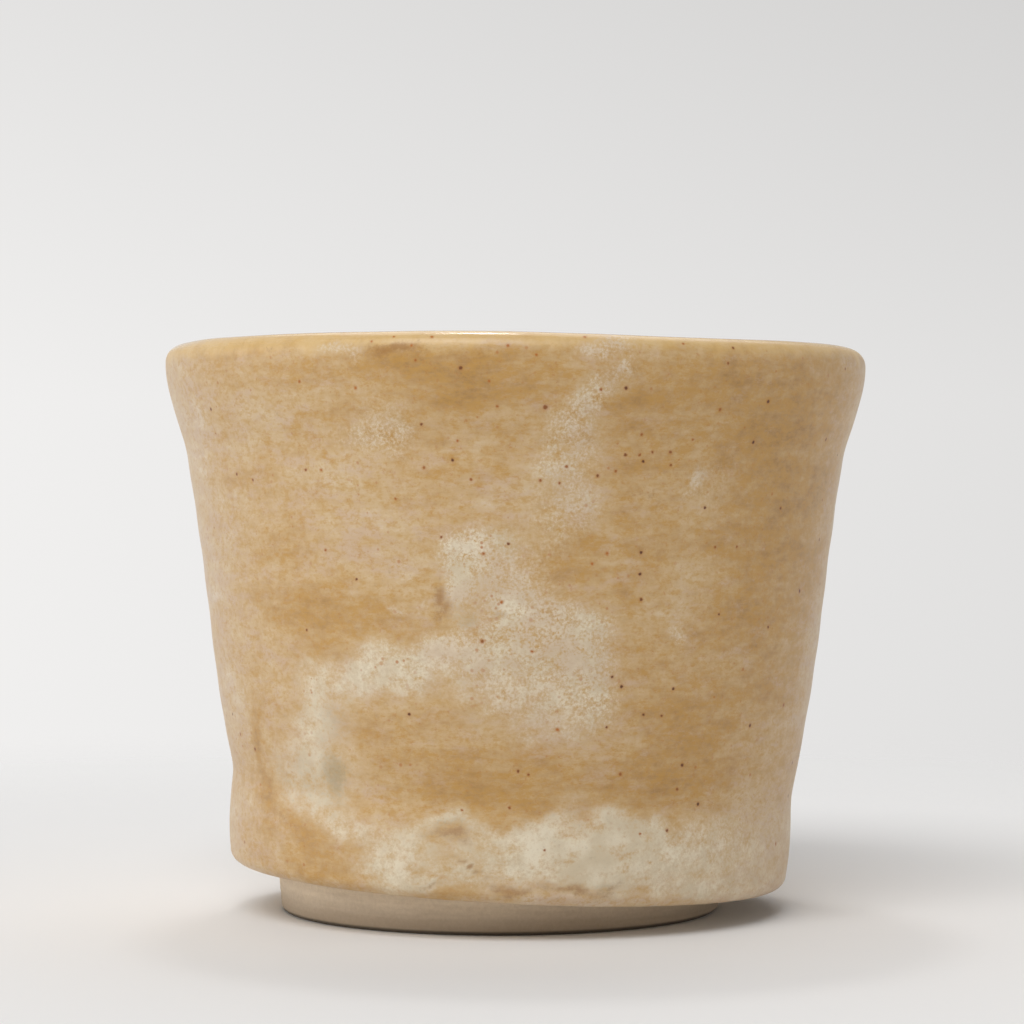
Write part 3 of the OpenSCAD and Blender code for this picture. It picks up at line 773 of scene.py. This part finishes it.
def iron_specks(graph, place, colours, ground):
    """Iron specks, each drawn round the place that the wall's faces know."""
    uneven = graph.node("TexNoise", {"Vector": place, "Scale": 1 / (0.35 * MM)}).outputs["Color"]
    shift = (0.22 * MM,) * 3
    shifted = graph.node("VectorMath", {0: uneven, 1: shift, 2: place}, operation="MULTIPLY_ADD").outputs[0]
    centre = graph.node("Attribute", attribute_name="speck_place").outputs["Vector"]
    half = (0.5, 0.5, 0.5)
    middle = graph.node("VectorMath", {0: half, 1: shift, 2: centre}, operation="MULTIPLY_ADD").outputs[0]
    away = graph.node("VectorMath", {0: shifted, 1: middle}, operation="DISTANCE").outputs["Value"]
    share = graph.math("DIVIDE", away, graph.layer("speck_radius"))
    halo = graph.mix(graph.times(graph.between(share, 1.8, 0.9), 0.3), ground, colours.rust)
    iron = graph.mix(graph.layer("speck_rust"), colours.speck, colours.rust)
    return graph.mix(graph.times(graph.between(share, 1.1, 0.4), 0.95), halo, iron)


def ochre_glaze(shape, colours):
    """Outer glaze: ochre with dabs of white, smears and specks of iron, satin below a glossy lip."""
    material, graph, place = new_material("ochre_glaze")
    # The thick layer darkens the glaze. On the right side that darkening is partly painted shade.
    thickness = graph.plus((graph.layer("thick"), -0.36), (graph.layer("thin"), 0.3))
    ground = glaze_ground(graph, place, colours, thickness)
    colour, lip = golden_lip(graph, place, shape, colours, ground)
    crumbs = graph.grain(place, 0.36 * MM, 3.0, 0.75)
    clumps = graph.grain(graph.squeezed(place, 1.3), 1.8 * MM, 4.0, 0.7)
    colour, white = white_glaze(graph, place, colours, colour, crumbs, clumps)

    olive = graph.between(graph.plus((graph.layer("olive"), 1.0), (crumbs, 1.2), (clumps, 0.6)), 0.1, 1.0)
    colour = graph.mix(graph.times(olive, 0.62), colour, colours.olive)
    smear = graph.between(graph.plus((graph.layer("iron"), 1.0), (crumbs, 0.8), (clumps, 1.4)), 0.1, 0.95)
    colour = graph.mix(graph.times(smear, 0.75), colour, colours.iron)
    colour = iron_specks(graph, place, colours, colour)

    roughness = graph.plus((lip, -0.24), (crumbs, 0.15), (white, 0.06), (1.0, 0.36))
    relief = graph.plus((crumbs, 0.5), (white, 0.15), (clumps, 0.3))
    graph.surface(colour, roughness, relief, 0.03 * MM)
    return material


def liner_glaze(shape, colours):
    """Glaze inside the cup: honey-coloured and specked, deeper low down, golden on the lip."""
    material, graph, place = new_material("liner_glaze")
    height = graph.height(place)
    pooled = graph.between(height, shape.flare_height, shape.belly_height)
    ground = glaze_ground(graph, place, colours, graph.plus((pooled, -0.14), (1.0, 0.1)))
    honey = graph.mix(0.2, ground, colours.liner)
    specks = graph.dots(place, 4 * MM, 0.3 * MM, 0.5)
    honey = graph.mix(graph.times(specks, 0.85), honey, colours.speck)
    colour, lip = golden_lip(graph, place, shape, colours, honey)
    fine = graph.grain(place, 0.8 * MM, 3.0)
    roughness = graph.plus((lip, -0.12), (fine, 0.12), (1.0, 0.28))
    graph.surface(colour, roughness, fine, 0.02 * MM)
    return material


def bare_clay(colours):
    """Fired clay without glaze: matt and sandy, with painted shade towards the table and a painted contact
    shadow on the foot's lower edge.
    """
    material, graph, place = new_material("bare_clay")
    sand = graph.grain(place, 0.45 * MM, 4.0, 0.7)
    cloud = graph.grain(graph.squeezed(place, 2.5), 9 * MM, 3.0)
    drawn = graph.grain(graph.squeezed(place, 14), 7 * MM, 3.0)
    tone = graph.plus((sand, 0.45), (cloud, 0.5), (drawn, 0.28), (1.0, 0.24))
    colour = graph.mix(tone, colours.clay, colours.sand)
    height = graph.height(place)
    # Painted shade: the clay grows darker towards the table, from 4 mm down, mixed towards the sand colour.
    shaded_low = graph.between(height, 4 * MM, 0.2 * MM)
    colour = graph.mix(graph.times(shaded_low, 0.65), colour, colours.sand)
    # Painted contact shadow: the foot's rounded lower edge, below 0.6 mm, is made dark where it meets the
    # table.
    rounding = graph.between(height, 0.6 * MM, 0.3 * MM)
    painted_edge_shadow = graph.times(rounding, graph.between(height, 0.01 * MM, 0.1 * MM))
    colour = graph.mix(graph.times(painted_edge_shadow, 0.8), colour, colours.painted_shadow)
    grit = graph.dots(place, 1.3 * MM, 0.17 * MM, 0.35)
    colour = graph.mix(graph.times(grit, 0.5), colour, colours.sand)
    relief = graph.plus((sand, 1.0), (drawn, 0.6))
    graph.surface(colour, graph.plus((sand, 0.1), (1.0, 0.86)), relief, 0.06 * MM)
    return material


class TEACUP_OT_outer_glaze(bpy.types.Operator):
    """Build the outer glaze, from its slanted lower edge up to the crest of the lip, with its white dabs"""

    bl_idname = "teacup.outer_glaze"
    bl_label = "Outer glaze"

    def execute(self, context):
        shape = context.scene.cup_shape
        outline = Outline(shape)
        line = outline.outer_line(0) + outline.outer_line(shape.glaze, thin=2)[::-1]
        bm = spun(line, True, WALL_TURNS)
        for vertex in bm.verts:
            vertex.co = outline.tipped(outline.thrown(vertex.co))
        bm.normal_update()
        for vertex in filter(faces_out, bm.verts):
            vertex.co += shape.dab_relief * cover(WHITE_DABS, vertex.co) * vertex.normal
        material = ochre_glaze(shape, context.scene.cup_colours)
        made = piece("outer_glaze_coat", bm, material, "ochre_glaze", "outer_glaze", "white_dabs")
        layers = {
            "white": WHITE_DABS, "thick": THICK_OCHRE, "thin": THIN_GLAZE, "iron": IRON_SMEARS,
            "olive": OLIVE_SHADOWS,
        }
        paint(made, layers)
        sprinkle(made, bm)
        bm.free()
        return {"FINISHED"}


class TEACUP_OT_liner_glaze(bpy.types.Operator):
    """Build the glaze inside, from the crest of the lip down over the floor"""

    bl_idname = "teacup.liner_glaze"
    bl_label = "Liner glaze"

    def execute(self, context):
        shape = context.scene.cup_shape
        outline = Outline(shape)
        line = outline.inner_line(0)[::-1] + outline.inner_line(shape.glaze, thin=2)
        bm = spun(line, False, WALL_TURNS)
        for vertex in bm.verts:
            vertex.co = outline.thrown(vertex.co)
        material = liner_glaze(shape, context.scene.cup_colours)
        piece("liner_glaze_coat", bm, material, "liner_glaze", "liner_glaze")
        bm.free()
        return {"FINISHED"}


class TEACUP_OT_bare_clay(bpy.types.Operator):
    """Build the foot ring and finish the bare underside of the clay body"""

    bl_idname = "teacup.bare_clay"
    bl_label = "Bare clay"
    ROWS = 30
    ROUND_ROWS = 8

    def execute(self, context):
        shape = context.scene.cup_shape
        outline = Outline(shape)
        clay = bare_clay(context.scene.cup_colours)
        outer = shape.foot_base_width / 2
        inner = outer - shape.foot_ring
        low = shape.foot_round
        climb = shape.step_height - low
        spread = shape.foot_width / 2 - outer
        rows = range(1, self.ROWS + 1)
        recess = [(inner - shape.recess_draft * i / self.ROWS, low + climb * i / self.ROWS) for i in rows]
        side = [(outer + spread * i / self.ROWS, low + climb * i / self.ROWS) for i in rows]
        quarter = math.pi / 2
        line = recess[::-1]
        line += arc((inner + low, low), low, 2 * quarter, 3 * quarter, self.ROUND_ROWS)
        line += arc((outer - low, low), low, 3 * quarter, 4 * quarter, self.ROUND_ROWS)
        line += side
        bm = spun(line, True, FOOT_TURNS)
        for vertex in bm.verts:
            vertex.co = self.trimmed(vertex.co, shape, outline)
        bmesh.ops.recalc_face_normals(bm, faces=bm.faces)
        piece("foot_ring_trimmed", bm, clay, "clay", "foot_ring")
        bm.free()
        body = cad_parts["clay_body"]
        body.data.materials.clear()
        body.data.materials.append(clay)
        return {"FINISHED"}

    @staticmethod
    def trimmed(point, shape, outline):
        """Stretches the foot up to the slanted underside and adds the lines of the trimming tool."""
        angle = wall_angle(point)
        out = Vector((math.sin(angle), -math.cos(angle), 0))
        share = ease(0, shape.foot_round, point.z)
        line = noise.noise(Vector((2.5, 7.5, point.z / (0.45 * MM) + angle / math.pi)))
        slow = noise.noise(Vector((out.x * 2, out.y * 2, 5.5)))
        moved = point + (shape.trim_depth * line + 2 * shape.trim_depth * slow) * share * out
        moved.x += shape.foot_offset
        stretch = outline.underside(moved.x) / shape.step_height
        moved.z = point.z * (1 + (stretch - 1) * share)
        return moved


class TEACUP_OT_stage(bpy.types.Operator):
    """Set up the floor, the light and the camera"""

    bl_idname = "teacup.stage"
    bl_label = "Stage"
    TABLE_RADIUS = 3.0
    TABLE_TURNS = 128
    FADE_START = 0.1
    FADE_END = 0.3
    CLIP_START = 10 * MM

    def execute(self, context):
        scene = context.scene
        stage = scene.cup_stage
        colours = scene.cup_colours
        scene.view_settings.view_transform = "Standard"
        self.table(colours)
        self.sky(scene, colours, stage)
        target = Vector((0, 0, scene.cup_shape.height / 2))
        for name, place, extent in LAMPS:
            self.lamp(name, place, target, extent, getattr(stage, name))
        camera = bpy.data.objects.new("camera", bpy.data.cameras.new("camera"))
        camera.data.lens = stage.lens
        camera.data.clip_start = self.CLIP_START
        camera.location = stage.eye
        camera.rotation_euler = (math.pi / 2 - stage.pitch, 0, 0)
        scene.collection.objects.link(camera)
        scene.camera = camera
        return {"FINISHED"}

    def lamp(self, name, place, target, extent, watts):
        data = bpy.data.lights.new(name, "AREA")
        data.shape = "RECTANGLE"
        data.size, data.size_y = extent
        data.energy = watts
        made = bpy.data.objects.new(name, data)
        made.location = place
        made.rotation_euler = (target - made.location).to_track_quat("-Z", "Y").to_euler()
        bpy.context.scene.collection.objects.link(made)

    def seen(self, graph):
        """1 for what the camera sees, straight or in a reflection or through glass."""
        path = graph.node("LightPath").outputs
        seen = graph.math("MAXIMUM", path["Is Camera Ray"], path["Is Glossy Ray"])
        return graph.math("MAXIMUM", seen, path["Is Transmission Ray"])

    def table(self, colours):
        bm = bmesh.new()
        bmesh.ops.create_circle(bm, cap_ends=True, segments=self.TABLE_TURNS, radius=self.TABLE_RADIUS)
        mesh = bpy.data.meshes.new("table")
        bm.to_mesh(mesh)
        bm.free()
        table = bpy.data.objects.new("table", mesh)
        bpy.context.scene.collection.objects.link(table)
        material, graph, place = new_material("pale_table")
        away = graph.node("VectorMath", {0: place}, operation="LENGTH").outputs["Value"]
        far = graph.times(graph.between(away, self.FADE_START, self.FADE_END), self.seen(graph))
        near = graph.node("BsdfDiffuse", {"Color": colours.table})
        beyond = graph.node("BsdfTransparent")
        both = graph.node("MixShader", {0: far, 1: near.outputs[0], 2: beyond.outputs[0]})
        graph.node("OutputMaterial", {"Surface": both.outputs[0]})
        mesh.materials.append(material)

    def sky(self, scene, colours, stage):
        """Light from all round, more of it from the left. What is seen is darker high up and on the right."""
        world = bpy.data.worlds.new("sky")
        world.use_nodes = True
        scene.world = world
        graph = Graph(world.node_tree)
        way = graph.node("SeparateXYZ", {0: graph.node("TexCoord").outputs["Generated"]}).outputs
        across = graph.node("Clamp", {"Value": way["X"], "Min": -0.2, "Max": 0.2}).outputs[0]
        up = graph.node("Clamp", {"Value": way["Z"], "Min": 0.03, "Max": 0.2}).outputs[0]
        shade = graph.plus((across, -0.45), (up, -1.0), (1.0, 1.03))
        slanted = graph.plus((way["X"], -stage.sky * stage.slant), (1.0, stage.sky))
        light = graph.node("Background", {"Color": (1, 1, 1), "Strength": slanted})
        behind = graph.node("Background", {"Color": colours.backdrop, "Strength": shade})
        both = graph.node("MixShader", {0: self.seen(graph), 1: light.outputs[0], 2: behind.outputs[0]})
        graph.node("OutputWorld", {"Surface": both.outputs[0]})


class TEACUP_PT_sidebar(bpy.types.Panel):
    """Sizes, colours and steps of the tea cup"""

    bl_idname = "TEACUP_PT_sidebar"
    bl_label = "Tea cup"
    bl_space_type = "VIEW_3D"
    bl_region_type = "UI"
    bl_category = "Tea cup"

    def draw(self, context):
        for step in STEPS:
            self.layout.operator(step.bl_idname)
        for group in (context.scene.cup_shape, context.scene.cup_colours, context.scene.cup_stage):
            column = self.layout.column(align=True)
            for name in group.bl_rna.properties.keys():
                if name not in ("rna_type", "name"):
                    column.prop(group, name)


STEPS = (TEACUP_OT_outer_glaze, TEACUP_OT_liner_glaze, TEACUP_OT_bare_clay, TEACUP_OT_stage)
CLASSES = (CupShape, CupColours, CupStage, *STEPS, TEACUP_PT_sidebar)


def register():
    for cls in CLASSES:
        bpy.utils.register_class(cls)
    bpy.types.Scene.cup_shape = PointerProperty(type=CupShape)
    bpy.types.Scene.cup_colours = PointerProperty(type=CupColours)
    bpy.types.Scene.cup_stage = PointerProperty(type=CupStage)


def unregister():
    del bpy.types.Scene.cup_stage
    del bpy.types.Scene.cup_colours
    del bpy.types.Scene.cup_shape
    for cls in reversed(CLASSES):
        bpy.utils.unregister_class(cls)


def main():
    register()
    bpy.ops.teacup.outer_glaze()
    bpy.ops.teacup.liner_glaze()
    bpy.ops.teacup.bare_clay()
    bpy.ops.teacup.stage()


if __name__ == "__main__":
    main()
